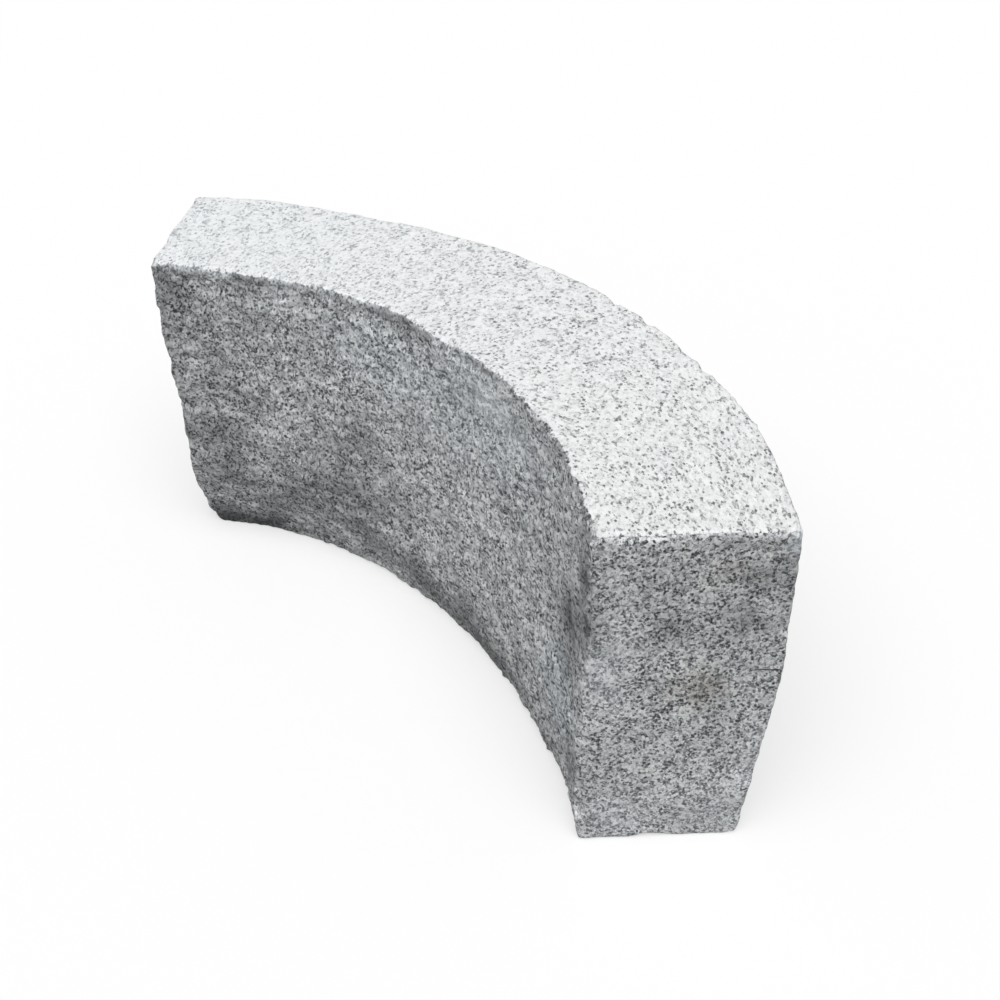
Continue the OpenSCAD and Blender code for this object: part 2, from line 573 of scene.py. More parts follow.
    def face_distances(self, points: np.ndarray) -> np.ndarray:
        """Signed distances from the plain faces, positive outside the stone.

        Each row is one face: the inner face's line less a radius, a radius less the back's line, a height
        less the top's, and so on; the undercut is a cone about an axis in the left end's plane, and the
        worn back corner a flatter arc about an axis in the right end's plane.

        Args:
            points: n x 3 places in millimetres.

        Returns:
            One row for each Side.
        """
        radius, _, up = self.polar(points)
        east, north = points[:, 0] - self.axis[0], points[:, 1] - self.axis[1]
        right, left = self.right_turn, self.right_turn + self.span
        cone = self.cone_radius(up) - self.shifted_radius(points, left, self.cut_shift)
        worn = self.shifted_radius(points, right, -self.worn_shift)
        inner = np.stack([self.inner_line(up) - radius, cone / math.hypot(1, self.cut_slope)])

        rows = np.empty((len(Side), len(points)))
        rows[Side.INNER] = self.undercut_blend * np.logaddexp.reduce(inner / self.undercut_blend, axis=0)
        rows[Side.BACK] = radius - self.back_line(up, self.outer_radius, self.back_inset)
        rows[Side.WORN] = worn - self.back_line(up, self.worn_radius, self.worn_inset)
        rows[Side.TOP] = up - self.height
        rows[Side.BED] = -up
        rows[Side.RIGHT] = east * math.sin(right) - north * math.cos(right)
        rows[Side.LEFT] = north * math.cos(left) - east * math.sin(left)
        rows[Side.BREAK] = self.break_distance(points)
        return rows

    def relief_rows(self, points: np.ndarray, rows: np.ndarray) -> np.ndarray:
        """How far the tools' marks stand in from each face; only points near a face are worked out.

        Args:
            points: n x 3 places in millimetres.
            rows: distances from the plain faces.

        Returns:
            One row for each Side, positive in hollows.
        """
        marks = np.zeros_like(rows)
        for relief in self.reliefs:
            near = rows[relief.side] > -self.relief_reach
            lumps = rough(points[near], relief.size, relief.octaves, relief.seed)
            marks[relief.side, near] += relief.height * lumps
        return marks

    def hewn_distances(self, points: np.ndarray) -> tuple[np.ndarray, np.ndarray]:
        """Signed distances from the faces as the tools left them: the plain ones plus relief and swells.

        Args:
            points: n x 3 places in millimetres.

        Returns:
            One row for each Side, and the relief alone.
        """
        rows = self.face_distances(points)
        marks = self.relief_rows(points, rows)
        _, along, up = self.polar(points)
        for swell in self.swells:
            rows[swell.side] += swell.relief(along, up)
        return rows + marks, marks

    def worn_rows(self, rows: np.ndarray, wear: np.ndarray) -> np.ndarray:
        """Adds a row for each worn arris: the flat (first + second) / sqrt(2) + bevel.

        Args:
            rows: distances from the faces.
            wear: values, about -1 to 1, of how worn the stone is; they widen the bevel.

        Returns:
            All rows of distances, those of the faces first.
        """
        worn = np.clip(wear, self.least_wear, None)
        bevels = [
            (rows[a.first] + rows[a.second]) / math.sqrt(2) + a.least + a.vary * worn for a in self.arrises
        ]
        return np.vstack([rows, *bevels])

    def chipped(self) -> list[Spall]:
        """The named spalls and small ones scattered along the edges, the same at every run.

        Returns:
            All spalls.
        """
        chance = np.random.default_rng(self.chip_seed)
        least, extra = self.chip_radius
        base, growth = self.chip_depth
        spalls = list(self.spalls)
        for edge in self.edges:
            start, end = np.array(edge.start), np.array(edge.end)
            for share in chance.random(edge.chips):
                at, across, height = start + share * (end - start)
                away = np.array(edge.away) + chance.normal(0, self.chip_scatter, 3)
                radius = least + extra * chance.random() ** 2
                spalls.append(Spall(at, across, height, tuple(away), radius, base + growth * radius))
        return spalls

    def spall_depth(
        self, points: np.ndarray, spalls: list[Spall], wear: np.ndarray
    ) -> tuple[np.ndarray, np.ndarray]:
        """How deep points lie in the deepest spall there: its radius less the distance from its centre.

        Args:
            points: n x 3 places in millimetres.
            spalls: the balls.
            wear: n values, about -1 to 1, that roughen the balls.

        Returns:
            n depths, negative outside every ball, and n x 3 unit vectors to that ball's centre.
        """
        deepest = np.full(len(points), -np.inf)
        ways = np.zeros_like(points)
        for spall in spalls:
            start = self.place(spall.at, self.inner_radius + spall.across, spall.height)
            turn = self.right_turn + spall.at / self.mid_radius
            on, out, up = spall.away
            east, north = math.cos(turn), math.sin(turn)
            away = np.array([out * east - on * north, out * north + on * east, up])
            centre = start + away / np.linalg.norm(away) * (spall.radius - spall.depth)
            legs = centre - points
            length = np.linalg.norm(legs, axis=1)
            deeper = spall.radius - length > deepest
            deepest[deeper] = spall.radius - length[deeper]
            ways[deeper] = legs[deeper] / length[deeper, None]
        return deepest + self.spall_rough * wear, ways

    def combined(self, rows: np.ndarray) -> np.ndarray:
        """Soft largest of the rows, blend * log(sum(exp(row / blend))), which rounds each edge a little."""
        return self.blend * np.logaddexp.reduce(rows / self.blend, axis=0)

    def outward(self, points: np.ndarray, rows: np.ndarray) -> np.ndarray:
        """Unit directions out of the stone: the plain faces' slopes, each by its share in the soft largest.

        A row's share is exp(row / blend), and a worn arris gives half of its share to each of its faces.
        Slopes are differences over half a millimetre each way.

        Args:
            points: n x 3 places in millimetres.
            rows: all rows of distances at the points, with those of the arrises.

        Returns:
            n x 3 unit vectors.
        """
        shares = np.exp((rows - rows.max(0)) / self.blend)
        faces = shares[: len(Side)].copy()
        for arris, share in zip(self.arrises, shares[len(Side) :]):
            faces[arris.first] += share / 2
            faces[arris.second] += share / 2
        slopes = []
        for way in np.eye(3) / 2:
            rise = self.face_distances(points + way) - self.face_distances(points - way)
            slopes.append((rise * faces).sum(0))
        slope = np.stack(slopes, 1)
        return slope / np.linalg.norm(slope, axis=1, keepdims=True)

    def line_shares(self) -> list[np.ndarray]:
        """Places of the lattice's lines along the arc, across from the inner face to the back, and up.

        Each is w - c w (1 - w) with w = t - g sin(2 pi t) / (2 pi) and t even from nought to one: g sets the
        lines closer together at the arrises, and c towards the right end, where the inner face is seen at
        a slant.

        Returns:
            Three rising rows of shares from nought to one.
        """
        shares = []
        for count, grade, crowd in zip(self.cells, self.grading, self.crowding):
            even = np.linspace(0, 1, count + 1)
            graded = even - grade * np.sin(2 * np.pi * even) / (2 * np.pi)
            shares.append(graded - crowd * graded * (1 - graded))
        return shares

    def plain_places(self, along: np.ndarray, across: np.ndarray, up: np.ndarray) -> np.ndarray:
        """Places in the plain stone, between its undercut inner face, its worn back and its swollen left end.

        Args:
            along: shares of the way from the right end to the left one.
            across: shares of the way from the inner face to the back.
            up: heights above the bed.

        Returns:
            n x 3 places in millimetres.
        """
        length = self.mid_length - sum(w.relief(w.at, up) for w in self.swells if w.side == Side.LEFT)
        turn = along * length / self.mid_radius
        cut = self.circle(self.span - turn, self.cut_shift, self.cone_radius(up))
        inner = np.maximum(self.inner_line(up), cut)
        worn = self.circle(turn, -self.worn_shift, self.back_line(up, self.worn_radius, self.worn_inset))
        outer = np.minimum(self.back_line(up, self.outer_radius, self.back_inset), worn)
        return self.place(along * length, inner + across * (outer - inner), up)

    def lattice(self) -> tuple[np.ndarray, np.ndarray]:
        """Grid over the six sides of the plain stone, with shared points along its edges.

        Returns:
            n x 3 places in millimetres, and m x 4 corners of the quads, turned outwards.
        """
        shape = tuple(count + 1 for count in self.cells)
        shell = np.ones(shape, bool)
        shell[1:-1, 1:-1, 1:-1] = False
        number = np.full(shape, -1)
        number[shell] = np.arange(shell.sum())
        along, across, up = (share[i] for share, i in zip(self.line_shares(), np.nonzero(shell)))
        quads = []
        for axis in range(3):
            for end in (0, -1):
                sheet = np.take(number, end, axis)
                loop = [sheet[:-1, :-1], sheet[1:, :-1], sheet[1:, 1:], sheet[:-1, 1:]]
                flip = (end == 0) != (axis != 1)
                quads.append(np.stack(loop[::-1] if flip else loop, -1).reshape(-1, 4))
        return self.plain_places(along, across, up * self.height), np.concatenate(quads)

    @staticmethod
    def eased(points: np.ndarray, quads: np.ndarray, share: float) -> np.ndarray:
        """Points moved by a share of the way to their neighbours' mean, which keeps faces from folding.

        Args:
            points: n x 3 places.
            quads: m x 4 corners.
            share: nought to one.

        Returns:
            n x 3 places.
        """
        starts, ends = quads.ravel(), np.roll(quads, -1, 1).ravel()
        size = len(points)
        count = np.bincount(starts, minlength=size) + np.bincount(ends, minlength=size)
        sums = [np.bincount(starts, c[ends], size) + np.bincount(ends, c[starts], size) for c in points.T]
        return points + share * (np.stack(sums, 1) / count[:, None] - points)

    def surface(self) -> tuple[np.ndarray, np.ndarray, np.ndarray, np.ndarray]:
        """The lattice brought onto the hewn stone.

        Each step moves a point by its distance along outward, or inside a spall along the ball's radius. The
        first steps start by easing the lattice.

        Returns:
            n x 3 places in millimetres, m x 4 corners of the quads, and at the points the rows of distances
            and of relief.
        """
        points, quads = self.lattice()
        spalls = self.chipped()
        (wide, fine), (wide_seed, fine_seed) = self.wear_sizes, self.wear_seeds
        rows = marks = np.empty(0)
        for step in range(self.steps):
            points = self.eased(points, quads, self.easing) if step < self.easing_steps else points
            wear = rough(points, wide, self.wear_octaves, wide_seed)
            wear += self.fine_wear * gradient_noise(points, fine, fine_seed)
            rows, marks = self.hewn_distances(points)
            every = self.worn_rows(rows, wear)
            level = self.combined(every)
            grain = gradient_noise(points, self.spall_grain, self.spall_seed)
            depth, inward = self.spall_depth(points, spalls, grain)
            ways = np.where((depth > level)[:, None], inward, self.outward(points, every))
            points = points - np.maximum(level, depth)[:, None] * ways
        points[:, 2] = np.maximum(points[:, 2], 0.0)
        return points, quads, rows, marks

    def tinted(self, points: np.ndarray, tint: Tint) -> np.ndarray:
        """How strongly points take one kind of patch; the darker kind is partly painted shade and the paler
        kind partly painted light.

        Args:
            points: n x 3 places in millimetres.
            tint: the kind of patch.

        Returns:
            n strengths from nought to one.
        """
        radius, along, up = self.polar(points)
        places = np.stack([along, radius - self.inner_radius, up], 1)
        total = np.zeros(len(points))
        for tint_patch in self.tint_patches:
            if tint_patch.tint == tint:
                total += tint_patch.strength * np.exp(-(((places - tint_patch.at) / tint_patch.reach) ** 2).sum(1))
        return np.clip(total, 0, 1)

    def build(self) -> bpy.types.Object:
        """Makes the stone's mesh, with attributes for its finish.

        Returns:
            The new object, at the origin.
        """
        points, quads, rows, marks = self.surface()
        mesh = bpy.data.meshes.new("hewn_kerb_stone")
        mesh.from_pydata((points * MM).tolist(), [], quads.tolist())
        mesh.shade_smooth()
        self.mark(mesh, points, rows, marks)
        mesh.validate()
        stone = bpy.data.objects.new("hewn_kerb_stone", mesh)
        bpy.context.scene.collection.objects.link(stone)
        return stone

    def mark(self, mesh: bpy.types.Mesh, points: np.ndarray, rows: np.ndarray, marks: np.ndarray) -> None:
        """Writes what the finish reads: each point's face, hollows, tint patches and places in the pattern.

        Args:
            mesh: the stone's mesh.
            points: n x 3 places in millimetres.
            rows: distances from the hewn faces at the points.
            marks: relief of the faces at the points.
        """
        self.write(mesh, "dressed", self.on_faces(rows, [Side.TOP]))
        self.write(mesh, "curved", self.on_faces(rows, [Side.INNER, Side.TOP]))
        # The relief's depth, which the finish turns into painted shade in hollows and painted light on lumps.
        carved = np.take_along_axis(marks, rows.argmax(0)[None], 0)[0]
        self.write(mesh, "hollow", np.clip(carved / self.mark_depth, -1, 1))
        # Strengths of the tint patches; the darker one is partly painted shade, the paler one partly painted
        # light.
        for tint in Tint:
            self.write(mesh, tint.name.lower(), self.tinted(points, tint))
        radius, along, up = self.polar(points)
        across = radius - self.inner_radius
        self.write(mesh, "lie", np.stack([along, across, up], 1) * MM)
        self.write(mesh, "slant", np.stack([*self.slanted(along, across), up], 1) / self.coarser * MM)

    def on_faces(self, rows: np.ndarray, sides: list[Side]) -> np.ndarray:
        """One on the given faces and nought on the others, with a slope between of mark_width."""
        lead = rows[sides].max(0) - np.delete(rows, sides, 0).max(0)
        return np.clip(0.5 + lead / self.mark_width, 0, 1)

    def slanted(self, along: np.ndarray, across: np.ndarray) -> tuple[np.ndarray, np.ndarray]:
        """Places in the pattern of the inner face and the top, which is drawn longer in one direction.

        The tools' marks there stand up so far that a slanting look meets their near sides, and the grains
        look as deep as they are wide. With near = exp(-(along/reach)^2), the pattern is stretched along the
        arc by 1 + slant * near, and across it by 1 + slant * (1 - near). It is also drawn a little coarser
        than on the ends, as fine grains far off would melt together.

        Args:
            along: lengths along the middle arc from the right end.
            across: distances from the inner face.

        Returns:
            Lengths along the pattern, the sum of 1 / stretch along the arc, and across it.
        """
        marks = np.linspace(-self.slant_margin, self.mid_length + self.slant_margin, self.slant_marks)
        near = np.exp(-((marks / self.slant_reach) ** 2))
        length = np.cumsum(np.gradient(marks) / (1 + self.slant * near))
        far = 1 - np.interp(along, marks, near)
        return np.interp(along, marks, length), across / (1 + self.slant * far)

    @staticmethod
    def write(mesh: bpy.types.Mesh, name: str, values: np.ndarray) -> None:
        """Stores a number or a vector for each vertex of a mesh under a name that the finish reads."""
        kind, slot = ("FLOAT", "value") if values.ndim == 1 else ("FLOAT_VECTOR", "vector")
        mesh.attributes.new(name, kind, "POINT").data.foreach_set(slot, values.astype(np.float32).ravel())

    def dress(self, stone: bpy.types.Object, finish: "Granite") -> None:
        """Gives the stone its finish and its place in the frame.

        Args:
            stone: the stone's object.
            finish: the granite.
        """
        stone.data.materials.append(finish.material())
        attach(stone, "root")
        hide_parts(NODE)


def add_node(
    tree: Tree,
    kind: str,
    inputs: dict[Any, Any] | None = None,
    stops: tuple[tuple[float, str], ...] = (),
    **settings: Any,
) -> bpy.types.Node:
    """Adds a node with its settings and links.

    Args:
        tree: the node tree.
        kind: the node's type.
        inputs: input name or number to a socket, which is linked, or to a plain value, which is set.
        stops: positions and hex colours of a colour ramp.
        settings: the node's own properties.

    Returns:
        The new node.
    """
    node = tree.nodes.new(kind)
    for name, value in settings.items():
        setattr(node, name, value)
    for key, value in (inputs or {}).items():
        if isinstance(value, Socket):
            tree.links.new(value, node.inputs[key])
        else:
            node.inputs[key].default_value = value
    if stops:
        marks = node.color_ramp.elements
        while len(marks) < len(stops):
            marks.new(0.5)
        for mark, (position, colour) in zip(marks, stops):
            mark.position = position
            mark.color = linear(colour)
    return node


@dataclass(frozen=True)
class Granite:
    """Light grey granite, split and hewn: pale feldspar, glassy grey quartz and black mica in small grains.

    The eye sees a salt-and-pepper speckle. The bush-hammered top is bruised nearly white, with softer dark
    flecks; the split sides keep their deeper grey. Hollows take painted shade and raised lumps painted light.
    Lengths are millimetres. Of a pair of covers or bumps, the first is for the split sides and the second for
    the hammered top.

    Each layer is a method that takes the tree and the sockets made so far, by name, and returns its own.
    """

    reads: tuple[tuple[str, str], ...] = (
        ("lie", "Vector"),
        ("slant", "Vector"),
        ("curved", "Fac"),
        ("dressed", "Fac"),
        ("hollow", "Fac"),
        ("grime_and_painted_shade", "Fac"),
        ("rust", "Fac"),
        ("blue", "Fac"),
        ("paler_and_painted_light", "Fac"),
    )
    grains: tuple[float, float, float] = (2.2, 1.5, 1.0)
    shares: tuple[float, float] = (0.40, 0.18)
    noise_range: tuple[float, float] = (0.3, 0.7)
    bend_size: float = 1.6
    bend_reach: float = 0.7
    cluster: float = 11.0
    cluster_lean: float = 0.055
    ragged: float = 0.5
    top_edge: tuple[float, float] = (0.5, 0.72)
    mica_cell: float = 2.5
    mica_from: float = 0.55
    mica_sizes: tuple[float, float] = (-0.1, 0.58)
    mica_lean: float = -3.0
    mica_edge: tuple[float, float] = (0.1, -0.06)
    mica_covers: tuple[float, float] = (0.85, 0.8)
    crack_at: tuple[float, float, float] = (0.0, 128.0, 175.0)
    crack_reach: tuple[float, float, float] = (9.0, 14.0, 0.8)
    crack_edge: tuple[float, float] = (1.0, 0.6)
    crack_cover: float = 0.9
    # How far the paler patches, partly painted light, whiten the colour and lift the tone of the sides.
    paler_cover: float = 0.4
    paler_tone: float = 1.15
    blotch: float = 38.0
    blotch_tones: tuple[float, float] = (0.86, 1.08)
    # Painted light on raised lumps and painted shade in hollows, as factors on the tone.
    relief_shading_tones: tuple[float, float] = (1.14, 0.86)
    patch_range: tuple[float, float] = (0.35, 0.65)
    patch_breaks: tuple[float, float] = (1.3, 0.7)
    pick: float = 6.0
    pick_share: float = 1.6
    bump_height: float = 0.9
    bumps: tuple[float, float] = (0.75, 0.4)
    ior: float = 1.54
    roughness: float = 0.85
    mica: str = "#212325"
    # Colour of the grime and of the painted shade.
    grime_and_painted_shade: str = "#5d5f60"
    rust: str = "#b3a693"
    blue: str = "#e6f0f6"
    # Colour of the paler patches, partly painted light.
    paler_and_painted_light: str = "#ecf2f6"
    split: tuple[tuple[float, str], ...] = (
        (0.20, "#3a3c3f"),
        (0.37, "#9fa1a4"),
        (0.51, "#cccfd2"),
        (0.66, "#e8eaeb"),
        (0.80, "#f6f7f7"),
    )
    hammered: tuple[tuple[float, str], ...] = (
        (0.14, "#77787a"),
        (0.29, "#bfc0c1"),
        (0.44, "#e2e3e4"),
        (0.80, "#f4f5f5"),
    )

    def material(self) -> bpy.types.Material:
        """Makes the material, one layer after another.

        Returns:
            A node material that reads the stone's own attributes.
        """
        material = bpy.data.materials.new("split_grey_granite")
        material.use_nodes = True
        tree = material.node_tree
        made = {
            name: add_node(tree, "ShaderNodeAttribute", attribute_name=name).outputs[kind]
            for name, kind in self.reads
        }
        layers = {
            "place": self.place,
            "bent": self.bent_place,
            "lean": self.clusters,
            "mineral": self.minerals,
            "top": self.dressed_top,
            "flakes": self.mica_flakes,
            "black": self.blacks,
            "fresh": self.fresh_colour,
            "cloud": self.clouds,
            "tone": self.tones,
            "colour": self.weathered_and_shaded_colour,
            "normal": self.fine_relief,
        }
        for name, layer in layers.items():
            made[name] = layer(tree, made)
        shader = tree.nodes["Principled BSDF"]
        tree.links.new(made["colour"], shader.inputs["Base Color"])
        tree.links.new(made["normal"], shader.inputs["Normal"])
        shader.inputs["Roughness"].default_value = self.roughness
        shader.inputs["IOR"].default_value = self.ior
        return material

    def place(self, tree: Tree, made: dict[str, Socket]) -> Socket:
        """Places in the pattern: slanted ones on the inner face and the top, plain ones on the other faces.

        Args:
            tree: the material's nodes.
            made: the sockets made so far.

        Returns:
            A place in metres.
        """
        test = {0: made["curved"], 1: 0.5}
        curved = add_node(tree, "ShaderNodeMath", test, operation="GREATER_THAN").outputs[0]
        either = {0: curved, 4: made["lie"], 5: made["slant"]}
        return add_node(tree, "ShaderNodeMix", either, data_type="VECTOR").outputs[1]

    def bent_place(self, tree: Tree, made: dict[str, Socket]) -> Socket:
        """Places moved a little by noise, so that the borders of grains aren't straight.

        Args:
            tree: the material's nodes.
            made: the sockets made so far.

        Returns:
            A place in metres.
        """
        noise = {"Vector": made["place"], "Scale": 1 / (self.bend_size * MM), "Detail": 1.0}
        bend = add_node(tree, "ShaderNodeTexNoise", noise).outputs["Color"]
        moved = {0: bend, 1: (self.bend_reach * MM,) * 3, 2: made["place"]}
        return add_node(tree, "ShaderNodeVectorMath", moved, operation="MULTIPLY_ADD").outputs[0]

    def clusters(self, tree: Tree, made: dict[str, Socket]) -> Socket:
        """Dark grains keep together in clusters, with paler stone between.

        Args:
            tree: the material's nodes.
            made: the sockets made so far.

        Returns:
            How much a grain leans to the pale side, negative in a cluster.
        """
        noise = {"Vector": made["place"], "Scale": 1 / (self.cluster * MM), "Detail": 2.0}
        cluster = add_node(tree, "ShaderNodeTexNoise", noise).outputs[0]
        low, high = self.noise_range
        lean = {0: cluster, 1: low, 2: high, 3: -self.cluster_lean, 4: self.cluster_lean}
        return add_node(tree, "ShaderNodeMapRange", lean).outputs[0]

    def minerals(self, tree: Tree, made: dict[str, Socket]) -> Socket:
        """Grains: cells of random shade in three sizes, mixed by their shares.

        Args:
            tree: the material's nodes.
            made: the sockets made so far.

        Returns:
            The grain's shade, about nought to one.
        """
        shades = []
        for size in self.grains:
            cells = add_node(tree, "ShaderNodeTexVoronoi", {"Vector": made["bent"], "Scale": 1 / (size * MM)})
            parts = add_node(tree, "ShaderNodeSeparateColor", {"Color": cells.outputs["Color"]})
            shades.append(parts.outputs[0])
        mineral = shades[0]
        for share, shade in zip(self.shares, shades[1:]):
            mineral = add_node(tree, "ShaderNodeMix", {0: share, 2: mineral, 3: shade}).outputs[0]
        return add_node(tree, "ShaderNodeMath", {0: mineral, 1: made["lean"]}, operation="ADD").outputs[0]

    def dressed_top(self, tree: Tree, made: dict[str, Socket]) -> Socket:
        """The hammered top, which ends in a ragged line where single grains have gone.

        Args:
            tree: the material's nodes.
            made: the sockets made so far.

        Returns:
            One on the top and nought on the split sides.
        """
        centred = add_node(tree, "ShaderNodeMath", {0: made["mineral"], 1: -0.5}, operation="ADD").outputs[0]
        torn = {0: centred, 1: self.ragged, 2: made["dressed"]}
        line = add_node(tree, "ShaderNodeMath", torn, operation="MULTIPLY_ADD").outputs[0]
        start, full = self.top_edge
        return add_node(tree, "ShaderNodeMapRange", {0: line, 1: start, 2: full}).outputs[0]

    def mica_flakes(self, tree: Tree, made: dict[str, Socket]) -> Socket:
        """Mica: in some cells a black flake of random size about the middle, more of them in the clusters.

        Args:
            tree: the material's nodes.
            made: the sockets made so far.

        Returns:
            How far the flake covers the stone.
        """
        texture = {"Vector": made["bent"], "Scale": 1 / (self.mica_cell * MM)}
        cells = add_node(tree, "ShaderNodeTexVoronoi", texture, distance="MANHATTAN")
        chance = add_node(tree, "ShaderNodeSeparateColor", {"Color": cells.outputs["Color"]}).outputs[1]
        odds = {0: made["lean"], 1: self.mica_lean, 2: chance}
        chance = add_node(tree, "ShaderNodeMath", odds, operation="MULTIPLY_ADD").outputs[0]
        least, most = self.mica_sizes
        sizes = {0: chance, 1: self.mica_from, 3: least, 4: most}
        size = add_node(tree, "ShaderNodeMapRange", sizes).outputs[0]
        apart = {0: cells.outputs["Distance"], 1: size}
        gap = add_node(tree, "ShaderNodeMath", apart, operation="SUBTRACT").outputs[0]
        sides, top = self.mica_covers
        cover = add_node(tree, "ShaderNodeMapRange", {0: made["top"], 3: sides, 4: top}).outputs[0]
        outer, inner = self.mica_edge
        return add_node(tree, "ShaderNodeMapRange", {0: gap, 1: outer, 2: inner, 3: 0.0, 4: cover}).outputs[0]

    def blacks(self, tree: Tree, made: dict[str, Socket]) -> Socket:
        """All that is black: the mica, and a short crack in the right end, which is all within a thin lens.

        Args:
            tree: the material's nodes.
            made: the sockets made so far.

        Returns:
            How far black covers the stone.
        """
        legs = {0: made["bent"], 1: Vector(self.crack_at) * MM}
        lens = add_node(tree, "ShaderNodeVectorMath", legs, operation="SUBTRACT").outputs[0]
        thin = {0: lens, 1: tuple(1 / (reach * MM) for reach in self.crack_reach)}
        lens = add_node(tree, "ShaderNodeVectorMath", thin, operation="MULTIPLY").outputs[0]
        lens = add_node(tree, "ShaderNodeVectorMath", {0: lens}, operation="LENGTH").outputs["Value"]
        outer, inner = self.crack_edge
        cover = {0: lens, 1: outer, 2: inner, 3: 0.0, 4: self.crack_cover}
        crack = add_node(tree, "ShaderNodeMapRange", cover).outputs[0]
        return add_node(tree, "ShaderNodeMath", {0: made["flakes"], 1: crack}, operation="MAXIMUM").outputs[0]

    def fresh_colour(self, tree: Tree, made: dict[str, Socket]) -> Socket:
        """Colour of the clean stone: each grain by its shade, then the black, then the paler patches, which
        are partly painted light.

        Args:
            tree: the material's nodes.
            made: the sockets made so far.

        Returns:
            The colour.
        """
        split = add_node(tree, "ShaderNodeValToRGB", {0: made["mineral"]}, self.split).outputs[0]
        hammered = add_node(tree, "ShaderNodeValToRGB", {0: made["mineral"]}, self.hammered).outputs[0]
        grains = {0: made["top"], 6: split, 7: hammered}
        colour = add_node(tree, "ShaderNodeMix", grains, data_type="RGBA").outputs[2]
        # The paler patches, partly painted light.
        cover = {0: made["paler_and_painted_light"], 1: self.paler_cover}
        paler_share = add_node(tree, "ShaderNodeMath", cover, operation="MULTIPLY").outputs[0]
        for share, tint in ((made["black"], self.mica), (paler_share, self.paler_and_painted_light)):
            laid = {0: share, 6: colour, 7: linear(tint)}
            colour = add_node(tree, "ShaderNodeMix", laid, data_type="RGBA").outputs[2]
        return colour

    def clouds(self, tree: Tree, made: dict[str, Socket]) -> Socket:
        """The stone's own cloudiness, in blotches.

        Args:
            tree: the material's nodes.
            made: the sockets made so far.

        Returns:
            A value about a half.
        """
        noise = {"Vector": made["place"], "Scale": 1 / (self.blotch * MM), "Detail": 4.0}
        return add_node(tree, "ShaderNodeTexNoise", noise).outputs[0]

    def tones(self, tree: Tree, made: dict[str, Socket]) -> Socket:
        """Tone of the stone: blotches on the split sides, painted shade in hollows and painted light on
        raised lumps, and paler where the paler patches lie, which are partly painted light.

        Args:
            tree: the material's nodes.
            made: the sockets made so far.

        Returns:
            A factor about one.
        """
        (low, high), (dark, pale) = self.noise_range, self.blotch_tones
        blotch = {0: made["cloud"], 1: low, 2: high, 3: dark, 4: pale}
        tone = add_node(tree, "ShaderNodeMapRange", blotch).outputs[0]
        tone = add_node(tree, "ShaderNodeMix", {0: made["top"], 2: tone, 3: 1.0}).outputs[0]
        # Painted light on raised lumps, painted shade in hollows.
        raised, sunk = self.relief_shading_tones
        relief_shade_map = {0: made["hollow"], 1: -1, 3: raised, 4: sunk}
        relief_shade = add_node(tree, "ShaderNodeMapRange", relief_shade_map).outputs[0]
        # Paler on the split sides where the paler patches lie, partly painted light.
        paler = add_node(tree, "ShaderNodeMapRange", {0: made["paler_and_painted_light"], 3: 1.0, 4: self.paler_tone}).outputs[0]
        paler = add_node(tree, "ShaderNodeMix", {0: made["top"], 2: paler, 3: 1.0}).outputs[0]
        for factor in (relief_shade, paler):
            tone = add_node(tree, "ShaderNodeMath", {0: tone, 1: factor}, operation="MULTIPLY").outputs[0]
        return tone

    def weathered_and_shaded_colour(self, tree: Tree, made: dict[str, Socket]) -> Socket:
        """The clean stone's colour by its tone, with tint patches on the split sides, broken up by the
        blotches;
        the darker patches are grime with painted shade.

        Args:
            tree: the material's nodes.
            made: the sockets made so far.

        Returns:
            The colour.
        """
        toned = {0: 1.0, 6: made["fresh"], 7: made["tone"]}
        colour = add_node(tree, "ShaderNodeMix", toned, data_type="RGBA", blend_type="MULTIPLY").outputs[2]
        (low, high), (more, less) = self.patch_range, self.patch_breaks
        breaks = {0: made["cloud"], 1: low, 2: high, 3: more, 4: less}
        broken = add_node(tree, "ShaderNodeMapRange", breaks).outputs[0]
        broken = add_node(tree, "ShaderNodeMix", {0: made["top"], 2: broken, 3: 0.0}).outputs[0]
        # The darkening tint is grime with painted shade; rust browns and the blue one cools.
        for name, tint in (("grime_and_painted_shade", self.grime_and_painted_shade), ("rust", self.rust), ("blue", self.blue)):
            parts = {0: made[name], 1: broken}
            much = add_node(tree, "ShaderNodeMath", parts, operation="MULTIPLY", use_clamp=True).outputs[0]
            tint_patch = {0: much, 6: colour, 7: linear(tint)}
            tinted = add_node(tree, "ShaderNodeMix", tint_patch, data_type="RGBA", blend_type="MULTIPLY")
            colour = tinted.outputs[2]
        return colour

    def fine_relief(self, tree: Tree, made: dict[str, Socket]) -> Socket:
        """Fine relief: grains stand at different heights, on the split sides between the picks' marks.

        Args:
            tree: the material's nodes.
            made: the sockets made so far.

        Returns:
            The bumped normal.
        """
        noise = {"Vector": made["place"], "Scale": 1 / (self.pick * MM), "Detail": 2.0}
        picks = add_node(tree, "ShaderNodeTexNoise", noise).outputs[0]
        picks = add_node(tree, "ShaderNodeMix", {0: made["top"], 2: picks, 3: 0.5}).outputs[0]
        sunk = {0: made["mineral"], 1: made["black"]}
        grains = add_node(tree, "ShaderNodeMath", sunk, operation="SUBTRACT").outputs[0]
        both = {0: picks, 1: self.pick_share, 2: grains}
        height = add_node(tree, "ShaderNodeMath", both, operation="MULTIPLY_ADD").outputs[0]
        sides, top = self.bumps
        strength = add_node(tree, "ShaderNodeMapRange", {0: made["top"], 3: sides, 4: top}).outputs[0]
        bump = {"Height": height, "Distance": self.bump_height * MM, "Strength": strength}
        return add_node(tree, "ShaderNodeBump", bump).outputs[0]


